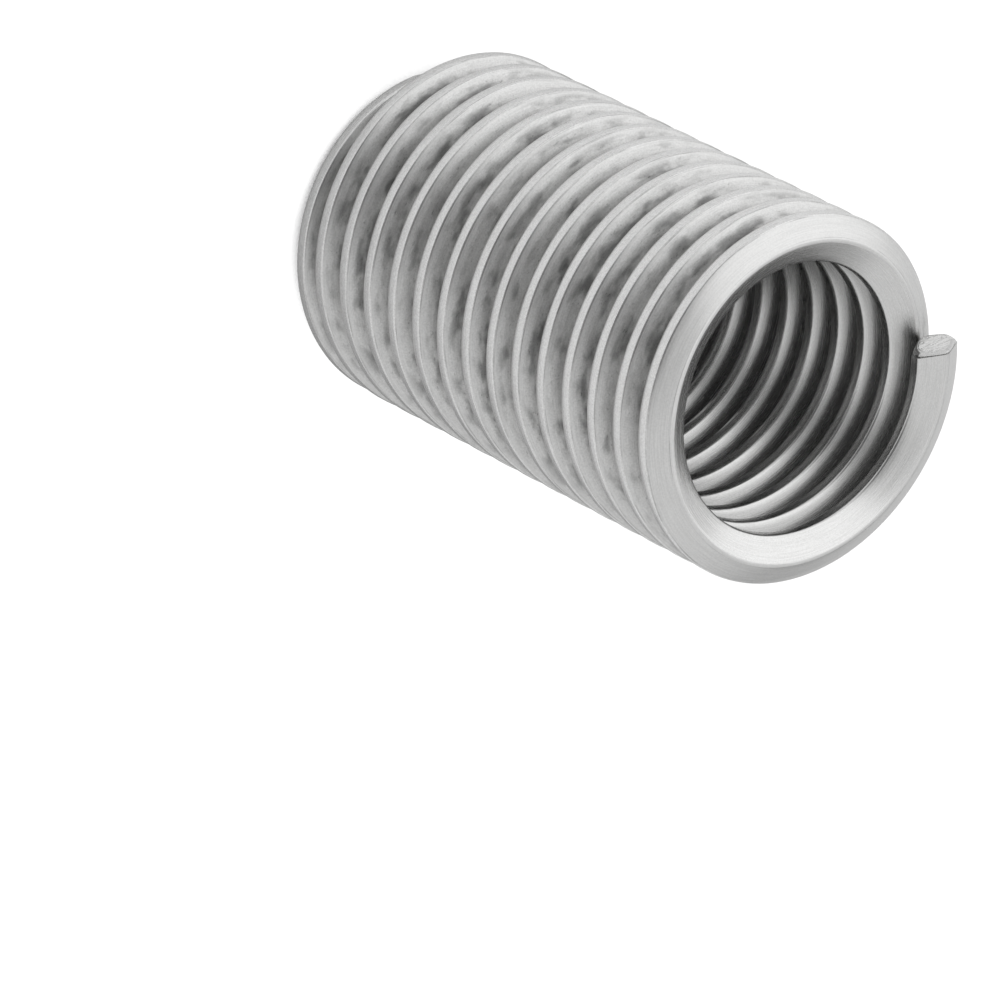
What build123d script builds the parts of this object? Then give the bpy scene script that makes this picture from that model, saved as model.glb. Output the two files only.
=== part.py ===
from build123d import *
from math import asin, atan2, degrees, hypot, radians, sqrt, tan
import os

# Helical thread insert: one stainless wire of diamond section, wound right-hand into a coil that is a
# screw thread on both sides. Millimetres. +Z is the coil's axis, from the leading end, which carries the
# driving tang and goes into the hole first, up to the trailing end, where the wire is cut off plain.
# Z = 0 is the lowest point of the wire, and the cut end lies on +X.

# --- driving dimensions -----------------------------------------------------------------------------
nominal_diameter = 16.0    # of the screw that the bore takes
pitch = 2.0                # of the inner and the outer thread
thread_angle = 60.0        # between the flanks, inside and outside
full_turns = 13.75         # turns at full diameter
free_turns = 0.5           # of these, the topmost, above the stretch that seats in the tapped hole
turn_gap = 0.10            # free gap between neighbouring turns
side_land = 0.20           # blunted side corners of the wire, measured across the coil
inner_flat_share = 0.24    # crest flat inside the coil, as a share of the pitch
outer_flat_share = 0.3133  # crest flat outside the coil, as a share of the pitch

trail_spring = 0.15        # by how much the quarter turn above the full ones, up to the cut, is wider
lead_reductions = (0.0, 0.30, 0.87)  # by how much each quarter turn below the full ones is tighter
tang_bend_radius = 2.0     # of the wire's middle line
tang_past_axis = 3.6       # how far the tang runs on beyond the coil's axis
notch_depth = 0.80         # of the V in the bore side of the wire, where the tang breaks off
notch_angle = 60.0
notch_setback = 8.0        # degrees of the leading turn between the V and the tang's bend

# --- the wire's section, from the thread form -------------------------------------------------------
flank = tan(radians(thread_angle / 2))
half_width = (pitch - turn_gap) / 2
half_inner_flat = inner_flat_share * pitch / 2
half_outer_flat = outer_flat_share * pitch / 2
bore_radius = (nominal_diameter - 1.0825 * pitch) / 2
wire_radius = bore_radius + (half_width - half_inner_flat) / flank + side_land / 2
outer_radius = wire_radius + side_land / 2 + (half_width - half_outer_flat) / flank

QUARTER = 90.0             # degrees of coil in one length of wire
TRIM = 0.3                 # a blank's crests stand this far past the drums that trim them


def section(bend_radius, trim=0.0):
    """The wire's section, facing along the wire, where the wire bends about Z at `bend_radius`.

    `trim` carries the flanks on past both crests, to be cut back."""
    inner = (bore_radius - trim, trim * flank - half_inner_flat)
    outer = (outer_radius + trim, trim * flank - half_outer_flat)
    lands = [(wire_radius - side_land / 2, -half_width), (wire_radius + side_land / 2, -half_width)]
    lower = [inner, *lands, outer]
    upper = [(x, -z) for x, z in reversed(lower)]
    return Plane.XZ * Pos(bend_radius - wire_radius, 0) * Polygon(*lower, *upper, align=None)


def rise(bend_radius):
    """How far a quarter turn of that radius climbs, at the slope of the full coil."""
    return pitch * QUARTER / 360 * bend_radius / wire_radius


def quarter_turn(bend_radius, trim=0.0):
    """A quarter turn of wire that runs down and clockwise from the XZ plane, about the Z axis."""
    climb = rise(bend_radius)
    path = Helix(climb * 360 / QUARTER, climb, bend_radius)
    return Rot(180, 0, 0) * sweep(section(bend_radius, trim), path=path, is_frenet=True)


def seat_quarter():
    """A quarter turn of the coil that seats, with true cylinders for its two crests."""
    tall = 4 * pitch
    outside = Rot(0, 0, 180) * Cylinder(outer_radius, tall)
    inside = Rot(0, 0, 180) * Cylinder(bore_radius, tall)
    return (quarter_turn(wire_radius, TRIM) & outside) - inside


def notch(bend_radius):
    """A V across the bore side of the last quarter of the leading turn, just before the tang's bend."""
    angle = QUARTER - notch_setback
    floor = bend_radius + bore_radius - wire_radius + notch_depth
    reach = notch_depth + TRIM
    spread = reach * tan(radians(notch_angle / 2))
    groove = Polygon((floor, 0), (floor - reach, spread), (floor - reach, -spread), align=None)
    depth = -rise(bend_radius) * angle / QUARTER
    return Pos(0, 0, depth) * Rot(0, 0, -angle) * extrude(groove, pitch, both=True)


def quarter_end(bend_radius):
    """From the start of a quarter turn to its end, where the next length of wire starts."""
    return Pos(0, 0, -rise(bend_radius)) * Rot(0, 0, -QUARTER)


def tang(root):
    """The bend and the straight tang, from `root`, where the leading turn ends, across the coil's axis."""
    start = root * Pos(-tang_bend_radius, 0, 0)
    centre = start.position
    reach = hypot(centre.X, centre.Y)
    toward_axis = degrees(atan2(-centre.Y, -centre.X))
    heading = root.orientation.Z - 90
    turn = heading - toward_axis + degrees(asin(tang_bend_radius / reach))
    run = sqrt(reach**2 - tang_bend_radius**2) + tang_past_axis
    bend = revolve(section(tang_bend_radius), Axis.Z, -turn)
    straight = extrude(section(tang_bend_radius), run)
    return start * bend, start * Rot(0, 0, -turn) * straight


def leading_turn():
    """The lengths of wire below the full coil, and where the tang's bend starts."""
    lengths = []
    end = Location()
    bend_radius = wire_radius
    for reduction in lead_reductions:
        start = end * Pos(bend_radius - (wire_radius - reduction), 0, 0)
        bend_radius = wire_radius - reduction
        lengths.append(start * quarter_turn(bend_radius))
        end = start * quarter_end(bend_radius)
    lengths[-1] -= start * notch(bend_radius)
    return lengths, end * Pos(bend_radius, 0, 0)


def joined(lengths):
    """One solid from lengths of wire that follow on from each other, first to last.

    The faces where two lengths meet are left out, and the rest are sewn together."""
    faces = []
    for before, length, after in zip([None, *lengths], lengths, [*lengths[1:], None]):
        meets = [other for other in (before, after) if other is not None]
        faces += [face for face in length.faces() if not any(is_joint(face, other) for other in meets)]
    return Solid(Shell(faces))


def is_joint(face, other):
    """Is this one of the two flat faces by which neighbouring lengths of wire meet?"""
    return face.geom_type == GeomType.PLANE and other.faces().filter_by(GeomType.PLANE).filter_by(
        lambda flat: (flat.center() - face.center()).length < 1e-4
    )


def wire_coil():
    """The whole wire, with its lowest point at Z = 0 and its cut end at the top, on +X."""
    sprung_radius = wire_radius + trail_spring
    lengths = [Pos(0, trail_spring, 0) * quarter_turn(sprung_radius)]
    end = quarter_end(sprung_radius)
    free = round(free_turns * 360 / QUARTER)
    seated = round(full_turns * 360 / QUARTER) - free
    for quarter in [quarter_turn(wire_radius)] * free + [seat_quarter()] * seated:
        lengths.append(end * quarter)
        end *= quarter_end(wire_radius)
    lead, root = leading_turn()
    lengths += [end * length for length in [*lead, *tang(root)]]
    wire = joined(lengths)
    return Pos(0, 0, -wire.bounding_box().min.Z) * wire


os.makedirs("parts", exist_ok=True)
export_step(wire_coil(), "parts/wire_coil.step")
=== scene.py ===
"""Helical thread insert: the wound wire with its drawn-steel finish, and a small studio to see it in."""

import math

import bpy
from bpy.props import (
    FloatProperty,
    FloatVectorProperty,
    IntProperty,
    PointerProperty,
)
from mathutils import Matrix, Vector


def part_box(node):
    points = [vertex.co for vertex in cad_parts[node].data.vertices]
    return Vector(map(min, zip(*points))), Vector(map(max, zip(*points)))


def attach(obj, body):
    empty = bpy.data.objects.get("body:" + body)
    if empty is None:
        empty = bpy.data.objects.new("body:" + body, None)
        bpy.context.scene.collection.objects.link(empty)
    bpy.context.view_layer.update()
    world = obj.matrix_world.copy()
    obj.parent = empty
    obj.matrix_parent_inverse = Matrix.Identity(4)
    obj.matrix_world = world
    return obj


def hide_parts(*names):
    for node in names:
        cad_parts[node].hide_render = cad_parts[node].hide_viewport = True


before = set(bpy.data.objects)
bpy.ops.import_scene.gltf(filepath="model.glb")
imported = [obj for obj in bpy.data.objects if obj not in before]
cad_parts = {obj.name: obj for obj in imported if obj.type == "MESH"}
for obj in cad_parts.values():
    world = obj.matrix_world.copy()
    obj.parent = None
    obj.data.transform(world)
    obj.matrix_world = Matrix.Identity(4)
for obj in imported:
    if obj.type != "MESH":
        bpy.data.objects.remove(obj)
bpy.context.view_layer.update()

bl_info = {
    "name": "Helical Thread Insert",
    "version": (1, 0, 0),
    "blender": (4, 5, 0),
    "location": "View3D > Sidebar > Thread Insert",
    "description": "Winds a thread insert from diamond-section wire and sets up a studio for it",
    "category": "Object",
}

MM = 0.001
QUARTER = math.radians(90)
FLOOR_WIDTH = 4.0
SOFTBOX_DISTANCE = 0.9
SOFTBOX_WIDTH = 1.4
WHITE = (1.0, 1.0, 1.0, 1.0)
STRAIGHT_WIRE = "straight_wire"  # where each point of the surface lay on the wire before it was wound
# The sheared lip from groove to face: how far along it, how large against the wire's section, and how
# much rounder than the ring before.
SHEARED_LIP = (
    (0.06, 0.88, 0.0),
    (0.18, 0.89, 0.10),
    (0.36, 0.975, 0.10),
    (0.66, 0.965, 0.12),
    (0.88, 0.91, 0.12),
    (0.98, 0.82, 0.15),
    (0.93, 0.79, 0.0),
    (1.0, 0.74, 0.0),
)
# Marks on the metal, in millimetres: the soft dark spots and the pits in the grooves, and the chips in
# the sheared ends.
SPOTS = {"Size": 0.80, "Stretch": 2.2, "Cover": 0.44, "Softness": 0.10}
PITS = {"Size": 0.10, "Stretch": 2.0, "Cover": 0.34, "Softness": 0.04}
CHIPS = {"Size": 0.20, "Stretch": 2.4, "Cover": 0.36, "Softness": 0.04}


# ---------------------------------------------------------------------------------------------
# Settings
# ---------------------------------------------------------------------------------------------


def length(name, description, millimetres):
    """A setting that is a length, with its default in millimetres."""
    return FloatProperty(
        name=name, description=description, default=millimetres * MM, precision=5, unit="LENGTH"
    )


def angle(name, description, degrees):
    """A setting that is an angle, with its default in degrees."""
    return FloatProperty(
        name=name, description=description, default=math.radians(degrees), subtype="ANGLE", unit="ROTATION"
    )


def colour(name, description, default):
    """A setting that is a colour."""
    return FloatVectorProperty(
        name=name, description=description, default=default, size=3, min=0.0, max=1.0, subtype="COLOR"
    )


def share(name, description, default):
    """A setting that goes from 0 to 1."""
    return FloatProperty(
        name=name, description=description, default=default, min=0.0, max=1.0, subtype="FACTOR"
    )


def point(name, description, *millimetres):
    """A setting that is a place, or several lengths, with its defaults in millimetres."""
    return FloatVectorProperty(
        name=name,
        description=description,
        default=[value * MM for value in millimetres],
        precision=5,
        unit="LENGTH",
    )


class WireSizes(bpy.types.PropertyGroup):
    """Sizes of the wire's section and of the coil that it is wound into."""

    screw_diameter: length("Screw diameter", "Nominal diameter of the screw that the bore takes", 16.0)
    pitch: length("Pitch", "Distance from one turn to the next", 2.0)
    flank_angle: angle("Flank angle", "How far each flank leans from square to the axis", 30.0)
    turn_gap: length("Turn gap", "Free gap between neighbouring turns", 0.10)
    side_land: length("Side land", "Width across the coil of the wire's blunted side corners", 0.20)
    inner_flat: length("Inner flat", "Width of the crest inside the coil", 0.48)
    outer_flat: length("Outer flat", "Width of the crest outside the coil", 0.6266)
    outer_upper: length("Outer crest, upper edge", "Rounding of the edge toward the cut end", 0.10)
    outer_lower: length("Outer crest, lower edge", "Rounding of the edge toward the tang", 0.28)
    inner_upper: length("Inner crest, upper edge", "Rounding of the edge toward the cut end", 0.12)
    inner_lower: length("Inner crest, lower edge", "Rounding of the edge toward the tang", 0.03)
    side_edge: length("Side edge", "Distance that the side lands' corners are rounded back", 0.06)
    quarters: IntProperty(name="Quarters", description="Quarter turns at full diameter", default=55, min=1)
    spring: length("Spring", "How much wider the quarter turn at the cut end is bent", 0.15)
    steps: IntProperty(name="Steps", description="Facets in one turn of the coil", default=120, min=12)
    closing: point("Closing", "How much tighter each quarter of the leading turn is bent", 0.0, 0.30, 0.87)
    tang_bend: length("Tang bend", "Radius of the tang's bend, at the middle of the wire", 2.0)
    tang_reach: length("Tang reach", "How far the tang runs on beyond the coil's axis", 3.6)
    notch_depth: length("Notch depth", "Depth of the V in the bore side, where the tang breaks off", 0.80)
    notch_angle: angle("Notch angle", "Angle between the notch's two sides", 60.0)
    notch_setback: angle("Notch setback", "Angle along the leading turn from the notch to the bend", 8.0)
    lip: length("Sheared lip", "Length of the pinched lip at each end of the wire", 0.34)
    lean: length("Lean", "How far the upper side of each sheared face leans back", 0.16)


class SteelFinish(bpy.types.PropertyGroup):
    """Colours and texture of the drawn stainless wire."""

    steel: colour("Steel", "The clean metal", (0.70, 0.70, 0.695))
    # Residue is also painted shade: this colour darkens the closed grooves where the neighbouring turns shade
    # them.
    residue_and_shade: colour("Residue", "What drawing and coiling leave in the closed grooves", (0.49, 0.49, 0.485))
    # Rubbed steel is also a painted highlight: the outer crests are painted brighter than the clean steel.
    rubbed_and_highlight: colour("Rubbed steel", "The crests outside the coil, rubbed bright", (0.85, 0.85, 0.845))
    flank_roughness: share("Flank roughness", "Dullness of the flanks outside the coil", 0.36)
    inner_roughness: share("Inner roughness", "Dullness of the flanks inside the coil", 0.25)
    crest_roughness: share("Crest roughness", "Dullness of the rubbed crests outside the coil", 0.28)
    bore_roughness: share("Bore roughness", "Dullness of the smooth crests inside the coil", 0.16)
    streak_length: length("Streak length", "Length of the scratches along the wire", 2.2)
    streak_width: length("Streak width", "Distance between the scratches", 0.06)
    grain_size: length("Grain size", "Size of the fine pits", 0.09)
    blotch_size: length("Blotch size", "Size of the dull marks across the wire", 0.7)


class StudioSetup(bpy.types.PropertyGroup):
    """The camera's place and the strength of the light."""

    azimuth: angle("Azimuth", "Direction of the camera round the coil, from the cut end", 136.69)
    elevation: angle("Elevation", "Height of the camera above the horizon", 45.70)
    roll: angle("Roll", "Turn of the camera about its own line of sight", 118.14)
    distance: length("Distance", "From the camera to the point that it is aimed at", 498.82)
    lens: FloatProperty(
        name="Lens", description="Focal length on a 36 mm frame", default=358.98, unit="CAMERA"
    )
    aim: point("Aim", "Point at the middle of the picture", -7.997, -7.779, 15.199)
    sky: FloatProperty(name="Sky", description="Brightness of the room all round", default=0.78, min=0.0)
    key: FloatProperty(name="Key", description="Brightness of the large softbox", default=0.45, min=0.0)
    key_azimuth: angle("Key azimuth", "Direction of the softbox round the coil, from the cut end", 26.0)
    key_elevation: angle("Key elevation", "Height of the softbox above the horizon", 45.0)
    shade_azimuth: angle("Shade azimuth", "Direction of the unlit part of the room, from the cut end", 137.0)
    shade_elevation: angle("Shade elevation", "Height of the unlit part of the room", 42.0)
    shade_width: angle("Shade width", "From the middle of the unlit part to where it starts to fade", 14.0)
    shade_fade: angle("Shade fade", "From the middle of the unlit part to full brightness", 37.0)
    dim_azimuth: angle("Dim azimuth", "Direction of the dimmer wall, from the cut end", -61.0)
    dim_fade: angle("Dim fade", "From the middle of the dimmer wall to full brightness", 36.0)
    dim: share("Dim", "Brightness of the dimmer wall against the others", 0.45)
    # The floor shade is a painted shadow in the floor's paper, with nothing there to cast it.
    floor_shade: point("Floor shade", "Middle of the shaded part of the floor", 0.0, -22.0, 0.0)
    floor_shade_core: length("Floor shade core", "From its middle to where it starts to fade", 6.0)
    floor_shade_reach: length("Floor shade reach", "From its middle to the full brightness", 40.0)


# ---------------------------------------------------------------------------------------------
# The wire
# ---------------------------------------------------------------------------------------------


class Wire:
    """The wire's section, worked out from the sizes."""

    def __init__(self, sizes):
        slope = math.tan(sizes.flank_angle)
        self.sizes = sizes
        self.half_width = (sizes.pitch - sizes.turn_gap) / 2
        self.bore = sizes.screw_diameter / 2 - 1.0825 * sizes.pitch / 2
        self.inner = (self.half_width - sizes.inner_flat / 2) / slope + sizes.side_land / 2
        self.outer = (self.half_width - sizes.outer_flat / 2) / slope + sizes.side_land / 2
        self.radius = self.bore + self.inner

    def rise(self, bend_radius, sweep):
        """How far wire bent to that radius climbs over an angle, at the slope of the full coil."""
        return self.sizes.pitch * sweep / math.tau * bend_radius / self.radius

    def corners(self):
        """The section's eight corners about the wire's middle line, going round once."""
        sizes = self.sizes
        land = sizes.side_land / 2
        lower = [
            (-self.inner, -sizes.inner_flat / 2),
            (-land, -self.half_width),
            (land, -self.half_width),
            (self.outer, -sizes.outer_flat / 2),
        ]
        return lower + [(x, -z) for x, z in reversed(lower)]


def pick(mesh, test):
    """Selects the vertices whose places pass a test, and nothing else. Works in object mode."""
    for item in (*mesh.polygons, *mesh.edges):
        item.select = False
    for vertex in mesh.vertices:
        vertex.select = test(vertex.co)


def add_section(wire, name, bend_radius):
    """A ring of edges in the XZ plane: the wire's outline with its corners rounded."""
    bpy.ops.object.select_all(action="DESELECT")
    bpy.ops.mesh.primitive_circle_add(vertices=8, radius=1.0, fill_type="NOTHING")
    ring = bpy.context.object
    ring.name = name
    for vertex, (x, z) in zip(ring.data.vertices, wire.corners()):
        vertex.co = (x, 0.0, z)
    sizes = wire.sizes
    nearly = 0.001 * MM  # allows for rounding in the places compared
    outer, inner = wire.outer - nearly, -wire.inner + nearly
    round_corners(ring, sizes.outer_lower, 5, lambda co: co.x > outer and co.z < 0)
    round_corners(ring, sizes.outer_upper, 3, lambda co: co.x > outer and co.z > sizes.outer_flat / 4)
    round_corners(ring, sizes.inner_upper, 4, lambda co: co.x < inner and co.z > 0)
    round_corners(ring, sizes.inner_lower, 2, lambda co: co.x < inner and co.z < -sizes.inner_flat / 4)
    round_corners(ring, sizes.side_edge, 3, lambda co: abs(co.z) > wire.half_width - nearly)
    split_flanks(ring)
    for vertex in ring.data.vertices:
        vertex.co.x += bend_radius
    return ring


def round_corners(ring, offset, segments, test):
    """Rounds the outline's corners that pass a test."""
    pick(ring.data, test)
    bpy.ops.object.mode_set(mode="EDIT")
    bpy.ops.mesh.select_mode(type="VERT")
    bpy.ops.mesh.bevel(offset_type="OFFSET", offset=offset, segments=segments, affect="VERTICES")
    bpy.ops.object.mode_set(mode="OBJECT")


def split_flanks(ring):
    """Puts two more points along each of the outline's flanks, so that the ends can be rounded over."""
    shortest_flank = 0.6 * MM  # longer than any edge of the section that isn't a flank
    mesh = ring.data
    pick(mesh, lambda co: False)
    for edge in mesh.edges:
        ends = [mesh.vertices[index] for index in edge.vertices]
        if (ends[0].co - ends[1].co).length > shortest_flank:
            for vertex in ends:
                vertex.select = True
    bpy.ops.object.mode_set(mode="EDIT")
    bpy.ops.mesh.select_mode(type="VERT")
    bpy.ops.mesh.subdivide(number_cuts=2)
    bpy.ops.object.mode_set(mode="OBJECT")


def wind(wire, name, bend_radius, sweep, start, climbs=True, turns=1):
    """A length of wire wound clockwise and down from the XZ plane, `sweep` in each of its turns.

    `start` is how far along the wire it begins."""
    ring = add_section(wire, name, bend_radius)
    section = [vertex.co.copy() for vertex in ring.data.vertices]
    steps = max(2, round(wire.sizes.steps * sweep / math.tau))
    screw = ring.modifiers.new("Wind", "SCREW")
    screw.angle = -sweep
    screw.steps = screw.render_steps = steps
    screw.screw_offset = -wire.rise(bend_radius, sweep) if climbs else 0.0
    screw.iterations = turns
    screw.use_smooth_shade = True
    bpy.ops.object.modifier_apply(modifier=screw.name)
    unwind(ring, section, bend_radius, start, sweep * bend_radius / steps)
    return ring


def unwind(length_of_wire, section, bend_radius, start, step_length):
    """Notes for each point where it lay on the straight wire: along it, and across its section."""
    place = length_of_wire.data.attributes.new(STRAIGHT_WIRE, "FLOAT_VECTOR", "POINT")
    for index, item in enumerate(place.data):
        co = section[index % len(section)]
        item.vector = (start + index // len(section) * step_length, co.x - bend_radius, co.z)


def move(piece, matrix):
    """Puts a piece in its place, and the place into its mesh."""
    bpy.ops.object.select_all(action="DESELECT")
    piece.select_set(True)
    bpy.context.view_layer.objects.active = piece
    piece.matrix_world = matrix
    bpy.ops.object.transform_apply(location=True, rotation=True, scale=True)


def shift(x=0.0, y=0.0, z=0.0):
    """The matrix that moves a thing by these distances."""
    return Matrix.Translation((x, y, z))


def turn(about_z):
    """The matrix that turns a thing about Z."""
    return Matrix.Rotation(about_z, 4, "Z")


class INSERT_OT_wind_wire(bpy.types.Operator):
    """Wind the wire: the full coil, the closing turn, the tang and both ends"""

    bl_idname = "thread_insert.wind_wire"
    bl_label = "Wind Wire"
    bl_options = {"REGISTER", "UNDO"}

    def execute(self, context):
        wire = Wire(context.scene.insert_wire)
        sizes = wire.sizes
        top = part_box("wire_coil")[1].z - wire.half_width
        bend_radius = wire.radius + sizes.spring
        lengths = [wind(wire, "sprung_quarter", bend_radius, QUARTER, 0.0)]
        move(lengths[0], shift(y=sizes.spring, z=top))
        along = QUARTER * bend_radius
        place = shift(z=top - wire.rise(bend_radius, QUARTER)) @ turn(-QUARTER)
        lengths.append(wind(wire, "wound_wire", wire.radius, QUARTER, along, turns=sizes.quarters))
        move(lengths[1], place)
        along += sizes.quarters * QUARTER * wire.radius
        place = place @ shift(z=-sizes.quarters * sizes.pitch / 4) @ turn(-QUARTER * sizes.quarters)
        bend_radius = wire.radius
        for reduction in sizes.closing:
            place = place @ shift(x=bend_radius - (wire.radius - reduction))
            bend_radius = wire.radius - reduction
            quarter = wind(wire, "closing_quarter", bend_radius, QUARTER, along)
            move(quarter, place)
            lengths.append(quarter)
            along += QUARTER * bend_radius
            place = place @ shift(z=-wire.rise(bend_radius, QUARTER)) @ turn(-QUARTER)
        notch_place = place @ turn(sizes.notch_setback) @ shift(
            x=bend_radius, z=wire.rise(bend_radius, sizes.notch_setback)
        )
        bend, straight, tang_end = add_tang(wire, place @ shift(x=bend_radius), along)
        lengths += [bend, straight]
        coil = join(lengths)
        close_ends(coil)
        cut_notch(wire, coil, notch_place)
        finish = context.scene.insert_finish
        groups = {
            "scratches": scratches_group(),
            "grain": grain_group(),
            "blotches": blotches_group(),
            "faces": faces_group(wire),
        }
        coil.data.materials.append(drawn_steel(finish, groups))
        coil.data.materials.append(sheared_steel(finish, groups))
        shear_end(wire, coil, shift(x=wire.radius + sizes.spring, y=sizes.spring, z=top))
        shear_end(wire, coil, tang_end)
        finish_mesh(coil)
        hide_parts("wire_coil")
        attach(coil, "root")
        return {"FINISHED"}


def add_tang(wire, root, along):
    """The tang's bend and its straight run across the coil's axis, and the place of its end."""
    radius = wire.sizes.tang_bend
    start = root @ shift(x=-radius)
    centre = start.translation.xy
    heading = start.to_euler().z - QUARTER
    to_axis = math.atan2(-centre.y, -centre.x)
    sweep = heading - to_axis + math.asin(radius / centre.length)
    sweep %= math.tau
    run = math.sqrt(centre.length_squared - radius**2) + wire.sizes.tang_reach
    bend = wind(wire, "tang_bend", radius, sweep, along, climbs=False)
    move(bend, start)
    straight = add_section(wire, "tang", radius)
    section = [vertex.co.copy() for vertex in straight.data.vertices]
    bpy.ops.object.mode_set(mode="EDIT")
    bpy.ops.mesh.select_all(action="SELECT")
    bpy.ops.mesh.extrude_region_move(TRANSFORM_OT_translate={"value": (0.0, -run, 0.0)})
    bpy.ops.object.mode_set(mode="OBJECT")
    unwind(straight, section, radius, along + sweep * radius, run)
    move(straight, start @ turn(-sweep))
    return bend, straight, start @ turn(-sweep) @ shift(x=radius, y=-run) @ turn(math.pi)


def join(lengths):
    """One mesh from lengths of wire that follow on from each other."""
    bpy.ops.object.select_all(action="DESELECT")
    for piece in lengths:
        piece.select_set(True)
    bpy.context.view_layer.objects.active = lengths[0]
    bpy.ops.object.join()
    bpy.ops.object.mode_set(mode="EDIT")
    bpy.ops.mesh.select_all(action="SELECT")
    bpy.ops.mesh.remove_doubles(threshold=0.002 * MM)
    bpy.ops.object.mode_set(mode="OBJECT")
    return lengths[0]


def close_ends(coil):
    """A face across each end of the wire."""
    bpy.ops.object.mode_set(mode="EDIT")
    bpy.ops.mesh.select_all(action="DESELECT")
    bpy.ops.mesh.select_mode(type="EDGE")
    bpy.ops.mesh.select_non_manifold(
        extend=False, use_wire=False, use_multi_face=False, use_non_contiguous=False
    )
    bpy.ops.mesh.edge_face_add()
    bpy.ops.mesh.select_all(action="SELECT")
    bpy.ops.mesh.normals_make_consistent(inside=False)
    bpy.ops.object.mode_set(mode="OBJECT")


def cut_notch(wire, coil, place):
    """The V across the bore side of the leading turn."""
    sizes = wire.sizes
    spare = 0.3 * MM  # how far the wedge stands out past the crest
    deep = sizes.notch_depth + spare
    half = deep * math.tan(sizes.notch_angle / 2)
    bpy.ops.object.select_all(action="DESELECT")
    bpy.ops.mesh.primitive_cylinder_add(vertices=3, radius=1.0, depth=2 * sizes.pitch)
    wedge = bpy.context.object
    floor = sizes.notch_depth - wire.inner
    outline = [(floor, 0.0), (floor - deep, half), (floor - deep, -half)]
    corners = sorted({tuple(round(c, 6) for c in v.co.xy) for v in wedge.data.vertices})
    for vertex in wedge.data.vertices:
        x, y = outline[corners.index(tuple(round(c, 6) for c in vertex.co.xy))]
        vertex.co = (x, y, vertex.co.z)
    bpy.ops.object.mode_set(mode="EDIT")
    bpy.ops.mesh.select_all(action="SELECT")
    bpy.ops.mesh.normals_make_consistent(inside=False)
    bpy.ops.object.mode_set(mode="OBJECT")
    move(wedge, place)
    bpy.context.view_layer.objects.active = coil
    cut = coil.modifiers.new("Notch", "BOOLEAN")
    cut.operation = "DIFFERENCE"
    cut.object = wedge
    bpy.ops.object.modifier_apply(modifier=cut.name)
    bpy.data.objects.remove(wedge)


def shear_end(wire, coil, end):
    """The end as the cutter leaves it: a fine groove, then a lip rounded over to the sheared face.

    `end` is the place of the wire's end, which faces +Y there."""
    mesh = coil.data
    lip = wire.sizes.lip
    centre = end.translation
    outward = (end.to_3x3() @ Vector((0.0, 1.0, 0.0))).normalized()
    bpy.ops.object.select_all(action="DESELECT")
    coil.select_set(True)
    bpy.context.view_layer.objects.active = coil
    for item in (*mesh.polygons, *mesh.edges, *mesh.vertices):
        item.select = False
    face = min((f for f in mesh.polygons if len(f.vertices) > 8), key=lambda f: (f.center - centre).length)
    face.select = True
    bpy.ops.object.mode_set(mode="EDIT")
    bpy.ops.mesh.select_mode(type="FACE")
    bpy.ops.transform.translate(value=-outward * lip)
    size = 1.0
    reached = -lip
    for how_far, scale, rounder in SHEARED_LIP:
        step = -lip * (1.0 - how_far) - reached
        reached += step
        bpy.ops.mesh.extrude_region_move(TRANSFORM_OT_translate={"value": outward * step})
        bpy.ops.transform.resize(value=(scale / size,) * 3, center_override=centre + outward * reached)
        bpy.ops.transform.tosphere(value=rounder)
        size = scale
    bpy.ops.object.mode_set(mode="OBJECT")
    for polygon in mesh.polygons:
        if polygon.select:
            polygon.material_index = 1
    to_end = end.inverted()
    for vertex in mesh.vertices:  # leans the lip back, most of all its upper side
        place = to_end @ vertex.co
        if -lip < place.y < lip and abs(place.z) < wire.half_width and abs(place.x) < wire.sizes.pitch:
            height = min(1.0, max(0.0, 0.4 + place.z / wire.half_width))
            vertex.co -= outward * wire.sizes.lean * height * (1.0 + place.y / lip)


def finish_mesh(coil):
    """Smooth shading, with sharp edges only where the ends and the notch are cut."""
    bpy.ops.object.select_all(action="DESELECT")
    coil.select_set(True)
    bpy.context.view_layer.objects.active = coil
    bpy.ops.object.shade_smooth_by_angle(angle=math.radians(32))
    weight = coil.modifiers.new("Flat flanks", "WEIGHTED_NORMAL")
    weight.keep_sharp = True
    bpy.ops.object.modifier_apply(modifier=weight.name)


# ---------------------------------------------------------------------------------------------
# The finish
# ---------------------------------------------------------------------------------------------


def add(tree, kind, inputs=None, **settings):
    """A node with its settings made, and its inputs given a value or joined to another node's output."""
    new = tree.nodes.new(kind)
    for name, value in settings.items():
        setattr(new, name, value)
    give(tree, new, inputs or {})
    return new


def give(tree, node, inputs):
    """Gives a node's inputs a value each, or joins them to other nodes' outputs."""
    for name, value in inputs.items():
        if isinstance(value, bpy.types.NodeSocket):
            tree.links.new(value, node.inputs[name])
        else:
            node.inputs[name].default_value = value


def calculate(tree, operation, *values):
    """The result of a Math node."""
    return add(tree, "ShaderNodeMath", dict(enumerate(values)), operation=operation).outputs[0]


def product(tree, first, *others):
    """All the values multiplied together."""
    for other in others:
        first = calculate(tree, "MULTIPLY", first, other)
    return first


def vector_result(tree, operation, *values):
    """The number that a Vector Math node works out."""
    inputs = dict(enumerate(values))
    return add(tree, "ShaderNodeVectorMath", inputs, operation=operation).outputs["Value"]


def scaled(tree, vector, factor):
    """A vector, or a colour, multiplied by a number."""
    inputs = {"Vector": vector, "Scale": factor}
    return add(tree, "ShaderNodeVectorMath", inputs, operation="SCALE").outputs[0]


def fade(tree, value, start, end, low=0.0, high=1.0):
    """A value that turns smoothly from `low` at `start` to `high` at `end`."""
    inputs = {"Value": value, "From Min": start, "From Max": end, "To Min": low, "To Max": high}
    return add(tree, "ShaderNodeMapRange", inputs, interpolation_type="SMOOTHSTEP").outputs[0]


def blend(tree, factor, first, second):
    """One colour turning into another as the factor goes from 0 to 1."""
    return add(tree, "ShaderNodeMix", {0: factor, 6: first, 7: second}, data_type="RGBA").outputs[2]


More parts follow.
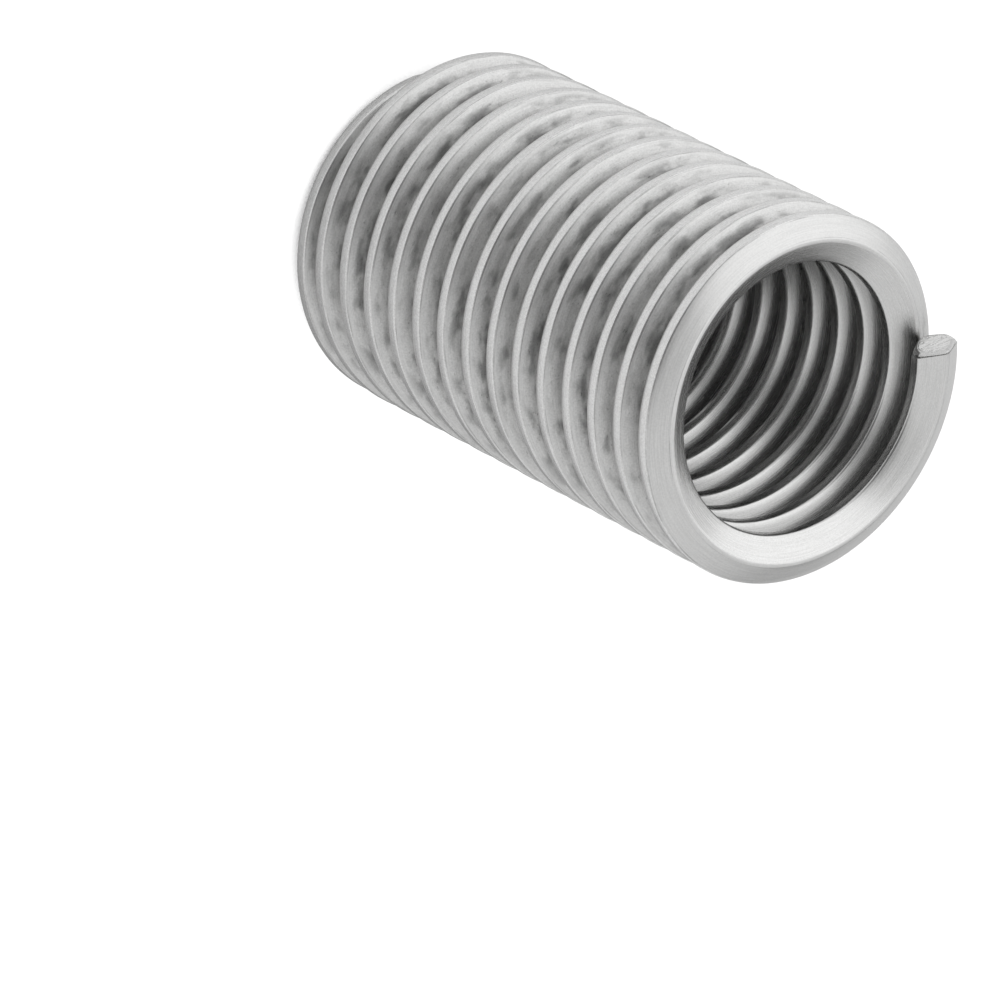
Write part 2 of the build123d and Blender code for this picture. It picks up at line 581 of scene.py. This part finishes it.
def start_group(name, inputs, outputs):
    """An empty shader node group with its sockets: its tree, its inputs, and its output node."""
    tree = bpy.data.node_groups.new(name, "ShaderNodeTree")
    for socket, value in inputs.items():
        kind = "NodeSocketVector" if value is None else "NodeSocketFloat"
        new = tree.interface.new_socket(socket, in_out="INPUT", socket_type=kind)
        if value is not None:
            new.default_value = value
    for socket in outputs:
        tree.interface.new_socket(socket, in_out="OUTPUT", socket_type="NodeSocketFloat")
    return tree, add(tree, "NodeGroupInput").outputs, add(tree, "NodeGroupOutput")


def stretched(tree, place, along, across):
    """A place on the wire, counted in one size along the wire and in another across it."""
    parts = add(tree, "ShaderNodeSeparateXYZ", {"Vector": place}).outputs
    counts = {
        axis: calculate(tree, "DIVIDE", parts[axis], size)
        for axis, size in (("X", along), ("Y", across), ("Z", across))
    }
    return add(tree, "ShaderNodeCombineXYZ", counts).outputs[0]


def scratches_group():
    """Fine scratches along the wire, from 0 to 1. Sizes are in millimetres."""
    tree, given, out = start_group(
        "Lengthwise Scratches", {"Place": None, "Length": 1.6, "Width": 0.07}, ("Height",)
    )
    place = stretched(tree, given["Place"], given["Length"], given["Width"])
    noise = add(tree, "ShaderNodeTexNoise", {"Vector": place, "Scale": 1.0, "Detail": 3.0, "Roughness": 0.6})
    tree.links.new(fade(tree, noise.outputs["Fac"], 0.25, 0.75), out.inputs["Height"])
    return tree


def blotches_group():
    """Soft-edged marks, longer along the wire than across: 0 where clean, 1 in the middle of a mark."""
    tree, given, out = start_group(
        "Blotches", {"Place": None, "Size": 0.7, "Stretch": 1.8, "Cover": 0.4, "Softness": 0.12}, ("Mask",)
    )
    place = stretched(tree, given["Place"], product(tree, given["Size"], given["Stretch"]), given["Size"])
    noise = add(tree, "ShaderNodeTexNoise", {"Vector": place, "Scale": 1.0, "Detail": 2.5, "Roughness": 0.55})
    bar = calculate(tree, "SUBTRACT", 1.0, given["Cover"])
    low = calculate(tree, "SUBTRACT", bar, given["Softness"])
    high = calculate(tree, "ADD", bar, given["Softness"])
    tree.links.new(fade(tree, noise.outputs["Fac"], low, high), out.inputs["Mask"])
    return tree


def grain_group():
    """Fine round pits, from 0 to 1. The size is in millimetres."""
    tree, given, out = start_group("Fine Grain", {"Place": None, "Size": 0.09}, ("Height",))
    scale = calculate(tree, "DIVIDE", 1.0, given["Size"])
    inputs = {"Vector": given["Place"], "Scale": scale, "Detail": 2.0, "Roughness": 0.5}
    noise = add(tree, "ShaderNodeTexNoise", inputs)
    tree.links.new(fade(tree, noise.outputs["Fac"], 0.3, 0.7), out.inputs["Height"])
    return tree


def faces_group(wire):
    """Masks for the parts of the wire, told by the place on the straight wire.

    Places are in millimetres: X along the wire from the cut end, Y outward and Z up from its middle."""
    masks = ("Outer Crest", "Bore Crest", "Inside", "Crest Edge", "Land Edge", "Groove", "Inner Groove")
    tree, given, out = start_group("Faces of the Wire", {"Place": None}, masks)
    parts = add(tree, "ShaderNodeSeparateXYZ", {"Vector": given["Place"]}).outputs
    outer, inner, side = wire.outer / MM, wire.inner / MM, wire.half_width / MM
    turn_length = math.tau * wire.radius / MM

    def line(value, middle, half_width):
        """1 on a line, and 0 at `half_width` from it."""
        off = calculate(tree, "ABSOLUTE", calculate(tree, "SUBTRACT", value, middle))
        return fade(tree, off, half_width, half_width * 0.3)

    # The outer crest takes the rubbed colour, partly a painted highlight; its lower side takes only a quarter
    # of it, a painted shade.
    crest = fade(tree, parts["Y"], outer - 0.10, outer - 0.01)
    half_flat = wire.sizes.outer_flat / MM / 2
    upper_crest_light = fade(tree, parts["Z"], -half_flat - 0.05, 0.05 - half_flat / 2, 0.25, 1.0)
    tree.links.new(product(tree, crest, upper_crest_light), out.inputs["Outer Crest"])
    tree.links.new(fade(tree, parts["Y"], 0.05 - inner, 0.01 - inner), out.inputs["Bore Crest"])
    inside = fade(tree, parts["Y"], 0.05, -0.15)
    tree.links.new(inside, out.inputs["Inside"])
    # Crest Edge and Land Edge are lines of painted shade: along the crest's upper edge, and where the upper
    # flank meets the side land.
    near_crest = fade(tree, parts["Y"], outer - 0.12, outer - 0.08)
    upper_edge = line(parts["Z"], half_flat + 0.02, 0.06)
    tree.links.new(product(tree, upper_edge, near_crest), out.inputs["Crest Edge"])
    high = fade(tree, parts["Z"], side - 0.12, side - 0.08)
    land_edge = line(parts["Y"], wire.sizes.side_land / MM / 2 + 0.05, 0.035)
    tree.links.new(product(tree, land_edge, high), out.inputs["Land Edge"])

    # Each turn but the first lies below another, and each but the last above one: there the groove is closed,
    # and it holds residue and a painted shade of the neighbouring turns, darker towards the root.
    coil_length = (wire.sizes.quarters + 1 + len(wire.sizes.closing)) / 4 * turn_length
    closed_above = fade(tree, parts["X"], turn_length - 2.0, turn_length + 1.0)
    closed_below = fade(tree, parts["X"], coil_length - turn_length + 2.0, coil_length - turn_length - 1.0)
    covered_above = product(tree, closed_above, fade(tree, parts["Z"], -0.1, 0.1))
    covered_below = product(tree, closed_below, fade(tree, parts["Z"], 0.1, -0.1))
    covered = calculate(tree, "ADD", covered_above, covered_below)
    depth = fade(tree, parts["Y"], outer + 0.05, outer - 0.65)
    outside = fade(tree, parts["Y"], -0.25, 0.0)
    tree.links.new(product(tree, depth, outside, covered), out.inputs["Groove"])
    # Inside the bore the closed grooves take the same painted shade, away from the crests.
    below_crest = fade(tree, parts["Y"], 0.05 - inner, 0.35 - inner)
    tree.links.new(product(tree, below_crest, covered, inside), out.inputs["Inner Groove"])
    return tree


def grouped(tree, group, inputs):
    """A group placed in a material, with its inputs set: its outputs."""
    return add(tree, "ShaderNodeGroup", inputs, node_tree=group).outputs


def wire_place(tree):
    """Where the surface lay on the straight wire, in millimetres."""
    place = add(tree, "ShaderNodeAttribute", attribute_name=STRAIGHT_WIRE).outputs["Vector"]
    return scaled(tree, place, 1.0 / MM)


def start_metal(name):
    """A material with a metallic shader: its tree and its shader."""
    material = bpy.data.materials.new(name)
    material.use_nodes = True
    shader = material.node_tree.nodes["Principled BSDF"]
    shader.inputs["Metallic"].default_value = 1.0
    return material, material.node_tree, shader


def drawn_steel(finish, groups):
    """Stainless wire as drawn: scratched along its length, dull in the grooves, rubbed on the crests; painted
    shade darkens the closed grooves and a painted highlight brightens the outer crests.
    """
    material, tree, shader = start_metal("drawn_steel")
    place = wire_place(tree)
    faces = grouped(tree, groups["faces"], {"Place": place})
    scratches = grouped(
        tree,
        groups["scratches"],
        {"Place": place, "Length": finish.streak_length / MM, "Width": finish.streak_width / MM},
    )["Height"]
    grain = grouped(tree, groups["grain"], {"Place": place, "Size": finish.grain_size / MM})["Height"]
    blotches, spots, pits = (
        grouped(tree, groups["blotches"], {"Place": place, **marks})["Mask"]
        for marks in ({"Size": finish.blotch_size / MM, "Cover": 0.42}, SPOTS, PITS)
    )

    # Colour: clean steel, rubbed and painted brighter on the outer crests, with residue and painted shade
    # over it in the grooves.
    steel, rubbed_and_highlight, residue_and_shade = (*finish.steel, 1.0), (*finish.rubbed_and_highlight, 1.0), (*finish.residue_and_shade, 1.0)
    clean = blend(tree, faces["Outer Crest"], steel, rubbed_and_highlight)
    # Residue and painted shade in the closed grooves, mottled by the blotches, and fully on the bore's flanks
    # away from its crests.
    dirt_and_shade = product(tree, faces["Groove"], fade(tree, blotches, 0.0, 1.0, 0.50, 0.95))
    dirt_and_shade = calculate(tree, "MAXIMUM", dirt_and_shade, faces["Inner Groove"])
    colour_of_metal = blend(tree, dirt_and_shade, clean, residue_and_shade)

    # Tone: scratches and grain, darkened by pits, by spots and by broken lines of painted shade along the
    # edges.
    tone = fade(tree, scratches, 0.0, 1.0, 0.93, 1.04)
    sandy = fade(tree, faces["Groove"], 0.0, 0.5, 0.08, 0.15)
    sandy = calculate(tree, "MINIMUM", calculate(tree, "MAXIMUM", sandy, faces["Outer Crest"]), 0.15)
    sandy = product(tree, sandy, calculate(tree, "SUBTRACT", grain, 0.5))
    tone = product(tree, tone, calculate(tree, "ADD", 1.0, sandy))
    pitted = product(tree, pits, faces["Groove"], fade(tree, blotches, 0.0, 1.0, 0.25, 0.50))
    stained = product(tree, spots, faces["Groove"], 0.53)
    broken = fade(tree, scratches, 0.3, 1.0, 0.0, 0.45)
    # Painted shade: broken dark lines along the crest and land edges.
    edge_shade_lines = (product(tree, faces[edge], broken) for edge in ("Crest Edge", "Land Edge"))
    for mask in (pitted, stained, *edge_shade_lines):
        tone = product(tree, tone, calculate(tree, "SUBTRACT", 1.0, mask))
    tree.links.new(scaled(tree, colour_of_metal, tone), shader.inputs["Base Color"])

    # Dullness: each face has its own, and the scratches vary it.
    rough = fade(tree, faces["Outer Crest"], 0.0, 1.0, finish.flank_roughness, finish.crest_roughness)
    for face, roughness in (("Inside", finish.inner_roughness), ("Bore Crest", finish.bore_roughness)):
        smoother = product(tree, faces[face], calculate(tree, "SUBTRACT", rough, roughness))
        rough = calculate(tree, "SUBTRACT", rough, smoother)
    rough = calculate(tree, "ADD", rough, fade(tree, scratches, 0.0, 1.0, -0.03, 0.03))
    tree.links.new(rough, shader.inputs["Roughness"])

    # Relief: mostly the scratches, and nearly none on the bore's crests.
    texture = calculate(tree, "ADD", product(tree, scratches, 0.75), product(tree, grain, 0.25))
    smooth_bore = calculate(tree, "SUBTRACT", 1.0, product(tree, faces["Bore Crest"], 0.8))
    height = product(tree, texture, smooth_bore)
    bump = add(tree, "ShaderNodeBump", {"Height": height, "Strength": 0.5, "Distance": 0.0025 * MM})
    tree.links.new(bump.outputs[0], shader.inputs["Normal"])
    return material


def sheared_steel(finish, groups):
    """Bare metal where the cutter went through the wire: bright, and torn one way."""
    material, tree, shader = start_metal("sheared_steel")
    place = scaled(tree, add(tree, "ShaderNodeTexCoord").outputs["Object"], 1.0 / MM)
    grain = grouped(tree, groups["grain"], {"Place": place, "Size": 0.13})["Height"]
    tears = grouped(tree, groups["scratches"], {"Place": place, "Length": 1.1, "Width": 0.22})["Height"]
    chips = grouped(tree, groups["blotches"], {"Place": place, **CHIPS})["Mask"]
    bright, dull = (*finish.rubbed_and_highlight, 1.0), (*finish.residue_and_shade, 1.0)
    tree.links.new(blend(tree, product(tree, chips, 0.5), bright, dull), shader.inputs["Base Color"])
    tree.links.new(fade(tree, grain, 0.0, 1.0, 0.26, 0.40), shader.inputs["Roughness"])
    height = calculate(tree, "ADD", product(tree, grain, 0.4), tears)
    height = calculate(tree, "SUBTRACT", height, product(tree, chips, 0.6))
    bump = add(tree, "ShaderNodeBump", {"Height": height, "Strength": 0.8, "Distance": 0.05 * MM})
    tree.links.new(bump.outputs[0], shader.inputs["Normal"])
    return material


# ---------------------------------------------------------------------------------------------
# The studio
# ---------------------------------------------------------------------------------------------


class INSERT_OT_set_stage(bpy.types.Operator):
    """Set up the floor, the light and the camera"""

    bl_idname = "thread_insert.set_stage"
    bl_label = "Set Stage"
    bl_options = {"REGISTER", "UNDO"}

    def execute(self, context):
        studio = context.scene.insert_studio
        add_floor(studio)
        add_room(studio)
        add_softbox(studio)
        add_camera(studio)
        context.scene.view_settings.view_transform = "Standard"
        return {"FINISHED"}


def direction(azimuth, elevation):
    """A unit vector towards a place round the object."""
    level = math.cos(elevation)
    return Vector((level * math.cos(azimuth), level * math.sin(azimuth), math.sin(elevation)))


def add_floor(studio):
    """A white floor that keeps the object's shadow. Its glow fades where the coil closes it in, a painted
    shadow that keeps it dark inside the bore, and its paper has a painted shadow at one side of the coil as
    if something stood there."""
    bpy.ops.object.select_all(action="DESELECT")
    bpy.ops.mesh.primitive_plane_add(size=FLOOR_WIDTH)
    floor = bpy.context.object
    floor.name = "floor"
    material = bpy.data.materials.new("floor_white")
    material.use_nodes = True
    tree = material.node_tree
    tree.nodes.clear()
    # Painted shadow: the floor's glow fades out where the coil closes it in, inside the bore and at its foot.
    open_to_room = add(tree, "ShaderNodeAmbientOcclusion", {"Distance": 40 * MM}, samples=8).outputs["AO"]
    strength = product(tree, fade(tree, open_to_room, 0.10, 0.30), 1.2)
    path = add(tree, "ShaderNodeLightPath").outputs
    mirrored = calculate(tree, "MAXIMUM", path["Is Glossy Ray"], path["Is Transmission Ray"])
    seen = product(tree, path["Is Camera Ray"], 0.88)
    seen = calculate(tree, "MAXIMUM", seen, product(tree, mirrored, 0.1))
    # Painted shadow: the paper darkens round the floor shade's middle, with nothing there to cast it;
    # mirrored rays see it most.
    place = add(tree, "ShaderNodeTexCoord").outputs["Object"]
    middle = tuple(studio.floor_shade)
    away = vector_result(tree, "DISTANCE", place, middle)
    pale = 0.9
    tone = fade(tree, away, studio.floor_shade_core, studio.floor_shade_reach, 0.35 * pale, pale)
    paper = add(tree, "ShaderNodeBsdfDiffuse", {"Color": tone})
    glow = add(tree, "ShaderNodeEmission", {"Color": WHITE, "Strength": strength})
    mix = add(tree, "ShaderNodeMixShader", {0: seen, 1: paper.outputs[0], 2: glow.outputs[0]})
    add(tree, "ShaderNodeOutputMaterial", {"Surface": mix.outputs[0]})
    floor.data.materials.append(material)


def add_room(studio):
    """White walls all round, one of them dimmer, with a part behind the camera left unlit."""
    world = bpy.data.worlds.new("room")
    bpy.context.scene.world = world
    world.use_nodes = True
    tree = world.node_tree
    tree.nodes.clear()
    look = add(tree, "ShaderNodeTexCoord").outputs["Generated"]
    shade = direction(studio.shade_azimuth, studio.shade_elevation)
    near = vector_result(tree, "DOT_PRODUCT", look, shade)
    strength = fade(
        tree, near, math.cos(studio.shade_fade), math.cos(studio.shade_width), studio.sky, 0.15 * studio.sky
    )
    wall = direction(studio.dim_azimuth, 0.0)
    near = vector_result(tree, "DOT_PRODUCT", look, wall)
    strength = product(tree, strength, fade(tree, near, math.cos(studio.dim_fade), 1.0, 1.0, studio.dim))
    walls = add(tree, "ShaderNodeBackground", {"Color": WHITE, "Strength": strength})
    add(tree, "ShaderNodeOutputWorld", {"Surface": walls.outputs[0]})


def add_softbox(studio):
    """A large round lamp that is as bright all over as the setting says."""
    toward = direction(studio.key_azimuth, studio.key_elevation)
    bpy.ops.object.light_add(type="AREA", location=toward * SOFTBOX_DISTANCE)
    lamp = bpy.context.object
    lamp.name = "softbox"
    lamp.data.shape = "DISK"
    lamp.data.size = SOFTBOX_WIDTH
    area = math.pi * (SOFTBOX_WIDTH / 2) ** 2
    lamp.data.energy = studio.key * math.pi * area
    lamp.rotation_euler = toward.to_track_quat("Z", "Y").to_euler()


def add_camera(studio):
    """The camera, aimed and rolled as the settings say."""
    bpy.ops.object.camera_add()
    camera = bpy.context.object
    camera.name = "camera"
    back = direction(studio.azimuth, studio.elevation)
    level = (-back).to_track_quat("-Z", "Y").to_matrix().to_4x4()
    place = Vector(studio.aim) + back * studio.distance
    camera.matrix_world = Matrix.Translation(place) @ level @ turn(studio.roll)
    camera.data.sensor_width = 36.0
    camera.data.lens = studio.lens
    camera.data.clip_start = 0.05
    camera.data.clip_end = 10.0
    bpy.context.scene.camera = camera


# ---------------------------------------------------------------------------------------------
# The add-on
# ---------------------------------------------------------------------------------------------


class INSERT_PT_sidebar(bpy.types.Panel):
    """The steps and their settings, in the order in which they are run"""

    bl_idname = "INSERT_PT_sidebar"
    bl_label = "Thread Insert"
    bl_space_type = "VIEW_3D"
    bl_region_type = "UI"
    bl_category = "Thread Insert"

    def draw(self, context):
        for label, settings, operator in (
            ("Wire", context.scene.insert_wire, INSERT_OT_wind_wire),
            ("Finish", context.scene.insert_finish, None),
            ("Studio", context.scene.insert_studio, INSERT_OT_set_stage),
        ):
            box = self.layout.box()
            box.label(text=label)
            for name in settings.__annotations__:
                box.prop(settings, name)
            if operator:
                box.operator(operator.bl_idname)


CLASSES = (WireSizes, SteelFinish, StudioSetup, INSERT_OT_wind_wire, INSERT_OT_set_stage, INSERT_PT_sidebar)


def register():
    for cls in CLASSES:
        bpy.utils.register_class(cls)
    bpy.types.Scene.insert_wire = PointerProperty(type=WireSizes)
    bpy.types.Scene.insert_finish = PointerProperty(type=SteelFinish)
    bpy.types.Scene.insert_studio = PointerProperty(type=StudioSetup)


def unregister():
    del bpy.types.Scene.insert_studio
    del bpy.types.Scene.insert_finish
    del bpy.types.Scene.insert_wire
    for cls in reversed(CLASSES):
        bpy.utils.unregister_class(cls)


def main():
    register()
    bpy.ops.thread_insert.wind_wire()
    bpy.ops.thread_insert.set_stage()


if __name__ == "__main__":
    main()
